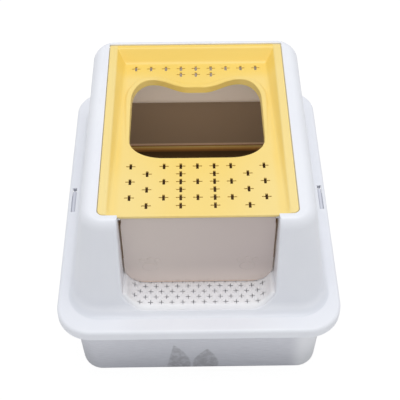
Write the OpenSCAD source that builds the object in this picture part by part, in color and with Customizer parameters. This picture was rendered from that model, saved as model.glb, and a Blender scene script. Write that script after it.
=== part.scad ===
// Top entry litter box: steel pan, flared plastic hood, hinged top lid with an
// entry hole, swinging front flap, perforated step and two side latches.
// Millimetres, Z up, X across, the front faces -Y.
// The origin is the middle of the footprint, on the floor.

/* [Brim and hood] */
// Width of the hood over its brim
brim_w = 440; // [400:1:500]
// Depth of the hood over its brim, front to back
brim_d = 551; // [510:1:620]
// Height of the brim's top face above the floor
brim_z = 156; // [135:1:190]
// Height of the hood above the brim's top face
tower_h = 176; // [166:1:190]
// Height of the skirt that hangs from the brim
skirt_h = 18; // [17:1:26]
// Width of the hood's tower at its flat top
tower_top_w = 342; // [335:1:346]
// Depth of the hood's tower at its flat top
tower_top_d = 415; // [412:1:430]
// Thickness of the hood's walls
hood_t = 2.5; // [2:0.1:3]

/* [Pan] */
// Gap between the brim's edge and the pan's wall, on every side
pan_inset = 23; // [23:1:30]
// How far the pan's walls lean in from rim to floor
pan_draft = 7; // [3:1:12]
// Radius where the pan's walls meet its floor
pan_floor_r = 22; // [12:1:30]
// Thickness of the steel sheet
steel_t = 0.8; // [0.6:0.1:1.2]

/* [Entry lid] */
// Width of the hood's flat border beside the lid
border_w = 25.7; // [25:0.1:29]
// Depth of the hood's flat border before and behind the lid, on average
border_d = 14.9; // [14:0.1:17.4]
// Width of the lid's flat rim at its sides
lid_rim = 12.5; // [11:0.5:14]
// Width of the lid's flat rim at its back
lid_rim_back = 9; // [8:0.5:11]
// How far the lid's floor lies below its rim at the back
lid_deep = 20; // [16:1:24]
// How far the lid's floor lies below its rim at the front
lid_shallow = 5; // [4:0.5:5]
// Thickness of the lid
lid_t = 2.5; // [2:0.1:2.6]
// Distance between neighbouring holes in a row of the lid
lid_pitch = 25.2; // [24:0.1:26]

/* [Entry hole] */
// Half of the entry hole's width
hole_hw = 105; // [95:1:108]
// Front edge of the entry hole, from the box's middle
hole_front = 68; // [60:1:70]
// Back edge of the entry hole at the dip between its two lobes
hole_dip = 97; // [92:1:100]
// How far the two lobes reach behind the dip
hole_wave = 21; // [14:1:24]

/* [Alcove, flap and step] */
// Half of the alcove's width
alcove_hw = 116.5; // [110:0.5:119]
// Corner radius at the foot of the alcove
alcove_r = 35; // [30:1:40]
// Gap between the flap's side edge and the alcove's wall
flap_side_gap = 4; // [4:0.5:6]
// Thickness of the flap
flap_t = 3; // [2.4:0.1:3.6]
// Height of the step's top above the alcove's floor
step_h = 5.5; // [5:0.5:7]
// Distance between neighbouring holes in a row of the step
step_pitch = 16.55; // [15:0.05:17]

/* [Pins and latches] */
// Diameter of the hinge pins, the flap's rod and the latch pins
pin_d = 3; // [2.5:0.1:3.2]
// Length of a side latch
latch_len = 47; // [40:1:50]

/* [Hidden] */

white = [0.91, 0.92, 0.95];
warm_white = [0.90, 0.89, 0.87];
yellow = [0.98, 0.86, 0.50];
smoke = [0.70, 0.66, 0.64, 0.75];
steel = [0.68, 0.69, 0.72];
grey = [0.76, 0.77, 0.81];

// Clearances: a running fit, a part that only lies near another, a seated part
fit = 0.06;
near = 0.3;
seat = 0.2;
// Overlap that joins two solids of one piece
weld = 0.4;
// Small step that keeps two faces of one piece from lying in one plane
skin = 0.15;

corner_steps = 8;
top_z = brim_z + tower_h;
brim_r = 55;
edge_r = 5;

// The tower: half sizes and corner radius at its top, and where its walls
// would meet the brim's top face without the fillet
top_hx = tower_top_w / 2;
top_hy = tower_top_d / 2;
top_r = 35;
base_hx = brim_w / 2 - 23.5;
base_hy = brim_d / 2 - 40;
base_r = 45;
lean = atan((base_hy - top_hy) / tower_h);

// Rounding of the tower's top edge: height, how far it reaches in at the sides
// and at the ends, and how much tighter it leaves the corners
round_h = 18;
round_in = [15, 9];
round_r = 18;
// Concave fillet at the tower's foot: its radius, and its reach at the sides
fillet_r = 20;
fillet_side = 0.5;

// The lid sits a little behind the middle, in a recess of the hood. Its rear
// corners are tighter than its front ones, so that it can turn on its hinge.
lid_w = tower_top_w - 2 * border_w;
lid_d = tower_top_d - 2 * border_d;
lid_y = 1.9;
lid_r = 9;
lid_back_r = 5.5;
lid_gap = 0.8;
barrel_r = 4;
ledge_z = top_z - 2 * barrel_r - 0.5;
ledge_w = 8.6;
hinge_y = lid_y + lid_d / 2 - barrel_r;
hinge_z = top_z - barrel_r - 0.15;
lid_tilt = atan((lid_deep - lid_shallow) / (lid_d - 20));
hinge_pin_in = 9;
hinge_pin_out = 5.2;

// The flap hangs from a barrel behind and below the lid's front lip
alcove_z = brim_z + 3;
flap_barrel_r = flap_t;
flap_y = -(lid_d / 2 - lid_y - 6.2);
flap_z = top_z - 15;
flap_hw = alcove_hw - flap_side_gap;
flap_foot = alcove_z + step_h + 2;
flap_r = alcove_r - 2;
lip_foot = top_z - 10;

// Back of the alcove's cheeks, and back of its floor
cheek_back = flap_y + 12.5;
alcove_back = flap_y + 38.5;

// The step: its front edge, back edge, sheet and the height of its sides
step_front = -(brim_d / 2 - 37.5);
step_back = alcove_back - 4;
step_t = 2.5;
step_side_h = 29;
step_rows = floor((step_back - step_front - 26) / 10.2);

// The pan: half sizes inside its wall at the rim, and the rolled rim
pan_hx = brim_w / 2 - pan_inset;
pan_hy = brim_d / 2 - pan_inset;
pan_r = 38;
pan_top = brim_z - hood_t;
roll_r = 2.5;
roll_out = 7;

// The latch turns on a pin in the brim's slot
latch_x = brim_w / 2 - 9.5;
latch_z = brim_z - 4;
latch_y = -5.6;
knuckle_r = 3.2;
slot_w = 7;
slot_front = latch_y - latch_len / 2 - 0.4;
slot_back = slot_front + latch_len + 7;
lug_len = 5;

// Points of one ring round the Z axis: half sizes a and b, corner radius r,
// height z, centre y0 along Y, and a rear corner radius if it differs from r
function ring(a, b, r, z, y0 = 0, rear = -1) = [
    for (q = [0:3]) for (i = [0:corner_steps])
        let (t = 90 * (q + i / corner_steps), c = (q < 2 && rear > 0) ? rear : r)
        [((q == 0 || q == 3) ? 1 : -1) * (a - c) + c * cos(t),
         ((q < 2) ? 1 : -1) * (b - c) + c * sin(t) + y0, z]];

// Faces of a stack of n rings with m points each. A closed stack joins its
// last ring to its first, an open one gets a cap at each end.
function stack_faces(n, m, closed) = concat(
    [for (k = [0:closed ? n - 1 : n - 2]) for (i = [0:m - 1])
        let (a = k * m, b = ((k + 1) % n) * m, j = (i + 1) % m)
        each [[a + i, b + i, b + j], [a + i, b + j, a + j]]],
    closed ? [] : [[for (i = [0:m - 1]) i], [for (i = [0:m - 1]) n * m - 1 - i]]);

// A solid through the rings, listed so that the outer side runs upward
module stack(rings, closed = false) {
    m = len(rings[0]);
    polyhedron([for (r = rings) each r], stack_faces(len(rings), m, closed), convexity = 8);
}

// Half sizes and corner radius of the tower's plain wall at height z
function wall_x(z) = base_hx + (top_hx - base_hx) * (z - brim_z) / tower_h;
function wall_y(z) = base_hy + (top_hy - base_hy) * (z - brim_z) / tower_h;
function wall_r(z) = base_r + (top_r - base_r) * (z - brim_z) / tower_h;

// The hood's outer section from the skirt's foot to the flat top. Each entry
// is [half width, half depth, corner radius, height, angle of the normal].
fillet_reach = fillet_r * tan((90 - lean) / 2);
function brim_entry(a) = let (o = edge_r * (1 - cos(a)))
    [brim_w / 2 - o, brim_d / 2 - o, brim_r - o, brim_z - edge_r * (1 - sin(a)), a];
function fillet_entry(a) = let (
        z = brim_z + fillet_r * (1 - cos(a)),
        out = fillet_reach - fillet_r * sin(a) + (z - brim_z) * tan(lean))
    [wall_x(z) + out * fillet_side, wall_y(z) + out, wall_r(z) + out * fillet_side, z, 90 - a];
function round_entry(a) = let (
        z = top_z - round_h * (1 - sin(a)),
        k = (cos(lean) - cos(a)) / cos(lean))
    [wall_x(z) - round_in[0] * k, wall_y(z) - round_in[1] * k, wall_r(z) - round_r * k, z, a];
hood_section = concat(
    [[brim_w / 2, brim_d / 2, brim_r, brim_z - skirt_h, 0]],
    [for (a = [0, 30, 60, 90]) brim_entry(a)],
    [for (i = [0:5]) fillet_entry(i / 5 * (90 - lean))],
    [for (i = [0:5]) round_entry(lean + i / 5 * (90 - lean))]);

function section_ring(e, t = 0) =
    ring(e[0] - t * cos(e[4]), e[1] - t * cos(e[4]), e[2] - t * cos(e[4]), e[3] - t * sin(e[4]));
function lid_ring(o, z) =
    ring(lid_w / 2 + o, lid_d / 2 + o, max(lid_r + o, 1.5), z, lid_y, max(2.08 * o - 0.76, 0.9));

// The hood's wall with the ledge that carries the lid
module hood_shell() {
    n = len(hood_section);
    stack(concat(
        [for (e = hood_section) section_ring(e)],
        [lid_ring(lid_gap, top_z), lid_ring(lid_gap, ledge_z), lid_ring(lid_gap - ledge_w, ledge_z),
         lid_ring(lid_gap - ledge_w, ledge_z - hood_t), lid_ring(lid_gap + hood_t, ledge_z - hood_t),
         lid_ring(lid_gap + hood_t, top_z - hood_t)],
        [for (i = [n - 1:-1:1]) section_ring(hood_section[i], hood_t)],
        [ring(brim_w / 2 - hood_t, brim_d / 2 - hood_t, brim_r - hood_t, brim_z - skirt_h)]),
        closed = true);
}

// Outline of the alcove seen from the front, grown by o, up to height h
module alcove_outline(o, h, floor_z = alcove_z, r = alcove_r) {
    hw = alcove_hw + o;
    foot = floor_z - o;
    translate([-hw, foot + r]) square([2 * hw, h - foot - r]);
    hull() for (s = [-1, 1]) translate([s * (hw - r), foot + r]) circle(r, $fn = 64);
}

// Pushes an outline drawn in X and Z along Y, from y0 to y1
module along_y(y0, y1) {
    translate([0, y1, 0]) rotate([90, 0, 0]) linear_extrude(y1 - y0) children();
}

// Pushes an outline drawn in Y and Z along X, from x0 to x1
module along_x(x0, x1) {
    translate([x0, 0, 0]) rotate([90, 0, 90]) linear_extrude(x1 - x0) children();
}

// A rod along X or along Y
module rod_x(x0, x1, y, z, r) {
    translate([x0, y, z]) rotate([0, 90, 0]) cylinder(h = x1 - x0, r = r, $fn = 48);
}
module rod_y(y0, y1, x, z, r) {
    translate([x, y1, z]) rotate([90, 0, 0]) cylinder(h = y1 - y0, r = r, $fn = 48);
}

// Block that the alcove is cut from: cheeks and a floor that reaches further
// back. It ends just inside the hood's outer faces.
module alcove_block() {
    difference() {
        intersection() {
            stack([for (e = hood_section) section_ring(e, skin)]);
            along_y(-brim_d / 2, alcove_back) alcove_outline(hood_t, ledge_z - 0.3);
        }
        translate([-brim_w / 2, cheek_back, alcove_z + step_side_h]) cube([brim_w, brim_d, tower_h]);
    }
}

// Block on the outside of one cheek, round the end of the flap's rod
module rod_block(s) {
    x = alcove_hw + hood_t - weld;
    translate([s > 0 ? x : -x - 5, flap_y - 4.5, flap_z - 6]) cube([5, 9, ledge_z - flap_z + 5.5]);
}

// Collar that keeps the flap centred between the cheeks
module rod_collar(s) {
    rod_x(s > 0 ? flap_hw + 0.5 : -alcove_hw - weld, s > 0 ? alcove_hw + weld : -flap_hw - 0.5,
          flap_y, flap_z, flap_barrel_r);
}

// Blocks that hold the lid's hinge pins, on one side
module hinge_block(s) {
    x = lid_w / 2 + lid_gap + 0.5;
    translate([s > 0 ? x : -x - 5.5, hinge_y - 5, ledge_z - 2]) cube([5.5, 8, top_z - ledge_z]);
}

// Lugs under the brim that hold a latch pin, on one side
module latch_lugs(s) {
    for (y = [slot_front - lug_len - 0.3, slot_back + 0.3])
        translate([s * latch_x - 3.4, y, latch_z - 4]) cube([6.8, lug_len, brim_z - hood_t - latch_z + 4.2]);
}

module hood() {
    color(white) difference() {
        union() {
            difference() {
                union() {
                    hood_shell();
                    alcove_block();
                    for (s = [-1, 1]) rod_block(s);
                }
                along_y(-brim_d / 2 - 1, alcove_back + 1) alcove_outline(0, top_z + 1);
            }
            for (s = [-1, 1]) {
                rod_collar(s);
                hinge_block(s);
                latch_lugs(s);
            }
        }
        // Slot in the brim, window in the skirt and bores for the pins
        for (s = [-1, 1]) {
            translate([s * latch_x - slot_w / 2, slot_front, brim_z - hood_t - 1])
                cube([slot_w, slot_back - slot_front, hood_t + 2]);
            translate([s > 0 ? latch_x + 4 : -brim_w / 2 - 1, slot_front, brim_z - skirt_h - 1])
                cube([brim_w / 2 - latch_x - 3, latch_len + 0.8, skirt_h - 7]);
            rod_y(slot_front - lug_len + 0.8, slot_back + lug_len - 0.8, s * latch_x, latch_z, pin_d / 2);
            rod_x(s > 0 ? lid_w / 2 : -lid_w / 2 - hinge_pin_out, s > 0 ? lid_w / 2 + hinge_pin_out : -lid_w / 2,
                  hinge_y, hinge_z, pin_d / 2);
        }
        rod_x(-alcove_hw - hood_t - 3.5, alcove_hw + hood_t + 3.5, flap_y, flap_z, pin_d / 2);
    }
}

// The pan's section: outside from the floor up, the rolled rim, then the
// inside down. Its half sizes shrink with the draft toward the floor.
function pan_in(z) = pan_draft * (1 - z / pan_top);
function pan_ring(o, z) = ring(pan_hx + o - pan_in(z), pan_hy + o - pan_in(z), pan_r + o - pan_in(z), z);
module litter_pan() {
    roll_x = roll_out;
    color(steel) stack(concat(
        [for (i = [0:6]) let (a = i / 6 * 90)
            pan_ring(-pan_floor_r * (1 - sin(a)), pan_floor_r * (1 - cos(a)))],
        [pan_ring(0, pan_top - 6), pan_ring(1, pan_top - 2.6), pan_ring(roll_x - roll_r + 0.1, pan_top - 1.9)],
        [for (a = [200, 235, 270, 305, 340, 15, 50, 90])
            pan_ring(roll_x + roll_r * cos(a), pan_top - roll_r + roll_r * sin(a))],
        [pan_ring(1.5, pan_top), pan_ring(-steel_t + 0.6, pan_top - 1), pan_ring(-steel_t, pan_top - 3.5)],
        [for (i = [6:-1:0]) let (a = i / 6 * 90)
            pan_ring(-steel_t - (pan_floor_r - steel_t) * (1 - sin(a)),
                     steel_t + (pan_floor_r - steel_t) * (1 - cos(a)))]));
}

// A plus-shaped hole: two bars, length a and width w
module plus_hole(a, w) {
    square([a, w], center = true);
    square([w, a], center = true);
}

// Outline of the lid in plan
module lid_plan(o) {
    polygon([for (p = ring(lid_w / 2 + o, lid_d / 2 + o, lid_r + o, 0, lid_y, lid_back_r + o)) [p[0], p[1]]]);
}

// Back edge of the entry hole: a flat dip in the middle, then a rise to a lobe
lobe_x = 72;
lobe_foot = 68;
function hole_back(x) = hole_dip + hole_wave / 2 * (1 - cos(180 * min(max((x - 12) / (lobe_x - 14), 0), 1)));

// Right half of the entry hole in plan: front corner, side and rear lobe
hole_front_side = [for (t = [90:-10:0]) [hole_hw - 48 * (1 - cos(t)), -hole_front + 40 * (1 - sin(t))]];
hole_rear_side = concat(
    [for (y = [-20:11:57]) [hole_hw, y]],
    [for (t = [0:11.25:90]) [lobe_x + (hole_hw - lobe_x) * cos(t), lobe_foot + (hole_dip + hole_wave - lobe_foot) * sin(t)]],
    [for (x = [66:-6:6]) [x, hole_back(x)]]);
function mirrored(list) = [for (i = [len(list) - 1:-1:0]) [-list[i][0], list[i][1]]];
hole_rear = concat(hole_rear_side, mirrored(hole_rear_side));
module hole_plan() {
    polygon(concat(hole_front_side, hole_rear, mirrored(hole_front_side)));
}

// Rows of plus-shaped holes in the lid: [distance from the middle, columns]
lid_row_y = [for (i = [0:5]) -hole_front - 19 - 16.55 * i];
wide_row = [-4, -2, -1, 0, 1, 2, 4];
gap_row = [-3, -1, 1, 3];
lid_rows = concat(
    [for (i = [0:5]) [lid_row_y[i], i % 2 == 0 ? wide_row : gap_row]],
    [[hole_dip + 55.4, [for (i = [-4:4]) i]], [hole_dip + 39, [-1, 0, 1]]]);

// Places something drawn in plan on the lid's sloping floor
module on_lid_floor(up = 0) {
    translate([0, lid_y - lid_d / 2, top_z - lid_shallow + up]) rotate([-lid_tilt, 0, 0])
        translate([0, lid_d / 2 - lid_y, 0]) children();
}

// A solid that narrows from the lid's rim (k = 0) down to its floor (k = 1),
// grown by o. It runs out over the front edge, where the lid has no rim.
module tray_solid(o, front, k_top, k_foot) {
    stack([for (k = [k_foot, k_top]) let (back = lid_rim_back + 27 * k - 1.4 * o) ring(
        lid_w / 2 - lid_rim - 18 * k + 1.2 * o, (lid_d - back + front) / 2, 6,
        top_z - (lid_deep + 6) * k, lid_y - (back + front) / 2)]);
}

// Swollen edge behind and beside the entry hole, with the wall below it. It
// fades toward the front: share of its full size at place i of hole_rear
bead_h = 3.6;
bead_w = 13;
bead_wall = 6.5;
function bead_share(i) = min(1, 0.12 + 0.88 * (hole_rear[i][1] + 20) / 95);
function bead_ring(i) = let (
        p = hole_rear[i],
        a = hole_rear[max(i - 1, 0)],
        b = hole_rear[min(i + 1, len(hole_rear) - 1)],
        d = [b[0] - a[0], b[1] - a[1]] / norm([b[0] - a[0], b[1] - a[1]]),
        s = bead_share(i),
        h = bead_h * s,
        w = 4.5 + (bead_w - 4.5) * s,
        foot = -1.8 - (bead_wall - 1.8) * s)
    [for (q = [[2.3, -1.4], [2.3, foot], [-skin, foot], [-skin, 0.5 * h], [0.03 * w, 0.82 * h], [0.1 * w, h],
               [0.52 * w, h], [0.62 * w, 0.86 * h], [0.86 * w, 0.14 * h], [w, -0.5]])
        [p[0] + d[1] * q[0], p[1] - d[0] * q[0], q[1]]];

// Flat rim at the sides and the back, its outer wall and the hinge barrel
module lid_rim_part() {
    back = hinge_y + 0.6;
    translate([0, 0, top_z - lid_t]) linear_extrude(lid_t) difference() {
        lid_plan(0);
        translate([-lid_w / 2 + lid_rim, -lid_d])
            square([lid_w - 2 * lid_rim, lid_d + lid_y + lid_d / 2 - lid_rim_back]);
        translate([-lid_w, back]) square([2 * lid_w, lid_d]);
    }
    translate([0, 0, top_z - 2 * barrel_r]) linear_extrude(2 * barrel_r - 0.5) difference() {
        lid_plan(-skin);
        lid_plan(-2.2);
        translate([-lid_w / 2 + lid_r + 2, -lid_d]) square([lid_w - 2 * lid_r - 4, 2 * lid_d]);
        translate([-lid_w, back - 2]) square([2 * lid_w, lid_d]);
    }
    intersection() {
        rod_x(-lid_w / 2 - 1, lid_w / 2 + 1, hinge_y, hinge_z, barrel_r);
        translate([0, 0, ledge_z]) linear_extrude(3 * barrel_r) lid_plan(-skin / 2);
    }
}

// Walls that slope from the rim to the floor
module lid_walls() {
    intersection() {
        difference() {
            tray_solid(lid_t, -0.3, 0.02, 1);
            tray_solid(0, 20, -0.2, 1.1);
        }
        on_lid_floor(0.5 - lid_t) translate([-lid_w / 2, -lid_d / 2]) cube([lid_w, lid_d + 10, 60]);
    }
}

// Floor with its rows of litter holes
module lid_floor() {
    intersection() {
        on_lid_floor(-lid_t) linear_extrude(lid_t) difference() {
            translate([0, lid_y - 5]) square([lid_w, lid_d], center = true);
            hole_plan();
            for (row = lid_rows) for (c = row[1]) translate([c * lid_pitch, row[0]]) plus_hole(13.8, 3.4);
        }
        tray_solid(lid_t - 0.8, 0, 0, 1.05);
    }
}

module entry_lid() {
    lip_top = top_z - lid_shallow - lid_t / 2;
    color(yellow) difference() {
        union() {
            lid_rim_part();
            lid_walls();
            lid_floor();
            // Lip at the front, then the swollen edge of the entry hole
            translate([-alcove_hw + 2, lid_y - lid_d / 2 + 0.2, lip_foot]) cube([2 * alcove_hw - 4, 2.2, lip_top - lip_foot]);
            on_lid_floor() stack([for (i = [0:len(hole_rear) - 1]) bead_ring(i)]);
        }
        for (s = [-1, 1])
            rod_x(s > 0 ? lid_w / 2 - hinge_pin_in - 1 : -lid_w / 2 - 1, s > 0 ? lid_w / 2 + 1 : -lid_w / 2 + hinge_pin_in + 1,
                  hinge_y, hinge_z, pin_d / 2 + fit);
    }
}

module lid_hinge_pin(s) {
    color(steel) rod_x(s > 0 ? lid_w / 2 - hinge_pin_in : -lid_w / 2 - hinge_pin_out + 0.2,
                       s > 0 ? lid_w / 2 + hinge_pin_out - 0.2 : -lid_w / 2 + hinge_pin_in,
                       hinge_y, hinge_z, pin_d / 2);
}

// One raised paw print on the flap: a pad below three toes
module paw_print() {
    scale([1.2, 0.9]) circle(10, $fn = 40);
    for (t = [-1, 0, 1]) translate([t * 12, 18 - abs(t) * 3.5]) rotate(-18 * t) scale([0.8, 1]) circle(5, $fn = 32);
}

module flap_door() {
    color(smoke) difference() {
        union() {
            along_y(flap_y - flap_t, flap_y) {
                translate([-flap_hw, flap_foot + flap_r]) square([2 * flap_hw, flap_z - flap_foot - flap_r]);
                hull() for (s = [-1, 1]) translate([s * (flap_hw - flap_r), flap_foot + flap_r]) circle(flap_r, $fn = 64);
            }
            rod_x(-flap_hw, flap_hw, flap_y, flap_z, flap_barrel_r);
            for (s = [-1, 1]) along_y(flap_y - flap_t - 0.6, flap_y - flap_t + weld)
                translate([s * (flap_hw - 38), flap_foot + 39]) paw_print();
        }
        rod_x(-flap_hw - 1, flap_hw + 1, flap_y, flap_z, pin_d / 2 + fit);
    }
}

module flap_hinge_rod() {
    color(steel) rod_x(-alcove_hw - hood_t - 3.3, alcove_hw + hood_t + 3.3, flap_y, flap_z, pin_d / 2);
}

// Section of the step seen from the front
module step_outline(o) {
    intersection() {
        alcove_outline(o, top_z, alcove_z + step_h - step_t - seat, alcove_r + o);
        translate([-brim_w / 2, 0]) square([brim_w, alcove_z + step_side_h]);
    }
}

// Quarter rounds that turn the step's front and back edges down to the floor
module step_edge() {
    intersection() {
        difference() {
            circle(step_h, $fn = 64);
            circle(step_h - step_t, $fn = 48);
        }
        square(step_h);
    }
}

module filter_step() {
    half = alcove_hw - alcove_r - 2;
    reach = 6.2 * step_pitch;
    flat_front = step_front + step_h;
    flat_back = step_back - step_h;
    color(warm_white) {
        difference() {
            along_y(flat_front, flat_back) difference() {
                step_outline(-seat);
                step_outline(-seat - step_t);
            }
            translate([0, 0, alcove_z]) linear_extrude(step_h + 14)
                for (i = [0:step_rows]) for (c = [-6:6]) {
                    x = (c + (i % 2 == 0 ? 0.5 : 0)) * step_pitch;
                    if (abs(x) < reach) translate([x, step_front + 13 + 10.2 * i]) plus_hole(8, 1.8);
                }
            // The raised sides stop short of the hood's leaning front
            along_x(-brim_w / 2, brim_w / 2) polygon([
                [flat_front - 1, alcove_z + 10], [flat_front + 0.3, alcove_z + 10],
                [flat_front + 7, alcove_z + step_side_h + 1], [flat_front - 1, alcove_z + step_side_h + 1]]);
        }
        translate([0, flat_back - weld, alcove_z]) along_x(-half, half) step_edge();
        translate([0, flat_front + weld, alcove_z]) mirror([0, 1, 0]) along_x(-half, half) step_edge();
    }
}

// A latch for the right side: arm from its knuckle down to a hook under the
// pan's rolled rim and a grip in the skirt's window, seen from the front
module latch_arm() {
    polygon([[-2.8, 0], [2.8, 0], [2.8, -8.5], [9.1, -8.5], [9.1, -17.5],
             [6.6, -17.5], [6.6, -11.5], [-2, -11.5], [-6.5, -7], [-6.5, -4.1], [-2.8, -4.1]]);
}

module side_latch(s) {
    y0 = latch_y - latch_len / 2;
    color(grey) difference() {
        union() {
            rod_y(y0, y0 + latch_len, s * latch_x, latch_z, knuckle_r);
            mirror([s > 0 ? 0 : 1, 0, 0]) translate([latch_x, 0, latch_z]) along_y(y0, y0 + latch_len) latch_arm();
        }
        rod_y(y0 - 1, y0 + latch_len + 1, s * latch_x, latch_z, pin_d / 2 + fit);
    }
}

module latch_pin(s) {
    color(steel) rod_y(slot_front - lug_len + 1, slot_back + lug_len - 1, s * latch_x, latch_z, pin_d / 2);
}

litter_pan();
hood();
entry_lid();
lid_hinge_pin(-1);  // lid_hinge_pin_left
lid_hinge_pin(1);  // lid_hinge_pin_right
flap_door();
flap_hinge_rod();
filter_step();
side_latch(-1);  // side_latch_left
side_latch(1);  // side_latch_right
latch_pin(-1);  // latch_pin_left
latch_pin(1);  // latch_pin_right
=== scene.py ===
# %% [markdown]
# # A top entry litter box
#
# The real object is a steel pan with a tall white plastic hood clipped on top.
# A yellow lid with a wavy entry hole lies in the hood's roof, a smoky flap
# hangs in an alcove at the front, and a perforated step lies before the flap.
#
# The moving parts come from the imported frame. This file gives each piece its
# finished surface, in the same place: Z is up and the front faces -Y.

# %% Load the frame
import math
import bpy
import numpy as np
from mathutils import Matrix, Vector


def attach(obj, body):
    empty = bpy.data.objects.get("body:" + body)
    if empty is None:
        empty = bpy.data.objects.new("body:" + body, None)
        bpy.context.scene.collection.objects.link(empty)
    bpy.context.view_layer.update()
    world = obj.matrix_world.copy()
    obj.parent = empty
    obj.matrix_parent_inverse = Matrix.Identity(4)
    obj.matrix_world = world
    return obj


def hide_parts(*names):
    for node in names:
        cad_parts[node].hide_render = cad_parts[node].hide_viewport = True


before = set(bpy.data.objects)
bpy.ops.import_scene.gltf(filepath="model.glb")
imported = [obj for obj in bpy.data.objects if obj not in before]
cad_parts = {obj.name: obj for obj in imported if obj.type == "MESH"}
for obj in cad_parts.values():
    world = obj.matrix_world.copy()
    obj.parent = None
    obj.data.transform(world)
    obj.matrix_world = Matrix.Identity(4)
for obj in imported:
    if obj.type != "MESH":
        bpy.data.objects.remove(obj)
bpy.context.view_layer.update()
MM = 0.001

# %% [markdown]
# ## Mesh helpers
#
# Nearly every piece here is either a grid of points or a stack of rings. Both
# are arrays of shape (rows, columns, 3), so one function can turn them into
# faces. Working on whole arrays keeps the shape a formula that can be read and
# changed, where moving vertices one by one would hide it.

# %% Grids into meshes
def grid_faces(rows, cols, wrap_cols=False, wrap_rows=False):
    """Quads between neighbouring points: (i, j), (i, j+1), (i+1, j+1), (i+1, j)."""
    i = np.arange(rows if wrap_rows else rows - 1)[:, None]
    j = np.arange(cols if wrap_cols else cols - 1)[None, :]
    i2, j2 = (i + 1) % rows, (j + 1) % cols
    quads = np.stack([i * cols + j, i * cols + j2, i2 * cols + j2, i2 * cols + j], axis=-1)
    return quads.reshape(-1, 4)


def new_mesh(name, points, faces, caps=()):
    """Makes an object from points in millimetres, quads, and longer faces."""
    metres = np.asarray(points, float).reshape(-1, 3) * MM
    mesh = bpy.data.meshes.new(name)
    mesh.from_pydata(metres.tolist(), [], [[int(v) for v in face] for face in [*faces, *caps]])
    mesh.validate()
    obj = bpy.data.objects.new(name, mesh)
    bpy.context.scene.collection.objects.link(obj)
    return obj


def tube(name, rows, closed_rows=False, flip=False):
    """Closed skin over rings: rows has shape (rings, points, 3). The last ring
    joins the first, or each end gets a cap."""
    rows = np.asarray(rows, float)
    n, m = rows.shape[:2]
    faces = grid_faces(n, m, wrap_cols=True, wrap_rows=closed_rows)
    caps = [] if closed_rows else [np.arange(m)[::-1], np.arange(m) + (n - 1) * m]
    if flip:
        faces, caps = faces[:, ::-1], [cap[::-1] for cap in caps]
    return new_mesh(name, rows, faces, caps)


def strip(name, rows, flip=False):
    """Closed skin over open lines: the last line joins the first, and the lines'
    first points and last points each make a cap."""
    rows = np.asarray(rows, float)
    n, m = rows.shape[:2]
    faces, start = grid_faces(n, m, wrap_rows=True), np.arange(n) * m
    return new_mesh(name, rows, faces[:, ::-1] if flip else faces, [start, (start + m - 1)[::-1]])


# %% [markdown]
# ## Solids into finished pieces
#
# Modifiers do what a formula can't do well: cut one closed solid with another
# and round a box. Each is applied at once, so that a piece is a plain mesh.

# %% Cut, merge and finish
def use(obj, kind, **settings):
    """Applies one modifier and returns the object with the result as its mesh."""
    mod = obj.modifiers.new(kind.lower(), kind)
    for key, value in settings.items():
        setattr(mod, key, value)
    graph = bpy.context.evaluated_depsgraph_get()
    result = bpy.data.meshes.new_from_object(obj.evaluated_get(graph))
    obj.modifiers.clear()
    old, obj.data = obj.data, result
    bpy.data.meshes.remove(old)
    return obj


def cut(obj, cutter, operation="DIFFERENCE"):
    """Joins or cuts two closed solids, then removes the second one."""
    use(obj, "BOOLEAN", object=cutter, operation=operation, solver="EXACT")
    bpy.data.objects.remove(cutter)


def corners_of(mesh):
    """The mesh's vertices as an array of shape (count, 3)."""
    flat = np.empty(len(mesh.vertices) * 3)
    mesh.vertices.foreach_get("co", flat)
    return flat.reshape(-1, 3)


def merge(first, *others):
    """Puts the meshes of several objects into the first one."""
    for other in others:
        a, b = first.data, other.data
        shift = len(a.vertices)
        faces = [list(p.vertices) for p in a.polygons]
        faces += [[v + shift for v in p.vertices] for p in b.polygons]
        mesh = bpy.data.meshes.new(first.name)
        mesh.from_pydata(np.concatenate([corners_of(a), corners_of(b)]).tolist(), [], faces)
        first.data = mesh
        bpy.data.objects.remove(other)
    return first


def finish_piece(obj, material, body, nodes=(), angle=35):
    """Smooth shading up to the angle, the material, and the body it rides on."""
    obj.data.materials.clear()
    obj.data.materials.append(material)
    obj.data.polygons.foreach_set("use_smooth", np.ones(len(obj.data.polygons), bool))
    obj.data.set_sharp_from_angle(angle=math.radians(angle))
    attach(obj, body)
    if nodes:
        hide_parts(*nodes)
    obj.data.calc_loop_triangles()
    print(f"{obj.name}: {len(obj.data.loop_triangles)} triangles")


# %% [markdown]
# Rings, boxes and rods come up again and again. A ring is a rounded rectangle:
# four quarter circles joined by straight sides. Points along the straight sides
# keep long quads from smearing the light round the corners.

# %% Rings, boxes and rods
def ring(a, b, r, z, y0=0.0, corner=14, side=5, rear=None):
    """Rounded rectangles of half width a and half depth b, one per row of the
    inputs. A corner point is (sx (a - r) + r cos t, sy (b - r) + r sin t), and
    the points of a side lie closer together near its ends. The two rear
    corners can have a radius of their own."""
    a, b, r, z = [np.atleast_1d(np.asarray(v, float))[:, None] for v in np.broadcast_arrays(a, b, r, z)]
    quarter = np.linspace(0, np.pi / 2, corner + 1)[None, :]
    corners = []
    for q, (sx, sy) in enumerate([(1, 1), (-1, 1), (-1, -1), (1, -1)]):
        t = quarter + q * np.pi / 2
        c = r if rear is None or sy < 0 else rear + 0 * r
        corners.append(np.stack([sx * (a - c) + c * np.cos(t), sy * (b - c) + c * np.sin(t), z + 0 * t], -1))
    share = (1 - np.cos(np.linspace(0, np.pi, side + 2)[1:-1])) / 2
    out = []
    for q in range(4):
        here, there = corners[q][:, -1:, :], corners[(q + 1) % 4][:, :1, :]
        out += [corners[q], here + (there - here) * share[None, :, None]]
    points = np.concatenate(out, axis=1)
    points[..., 1] += y0
    return points


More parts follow.
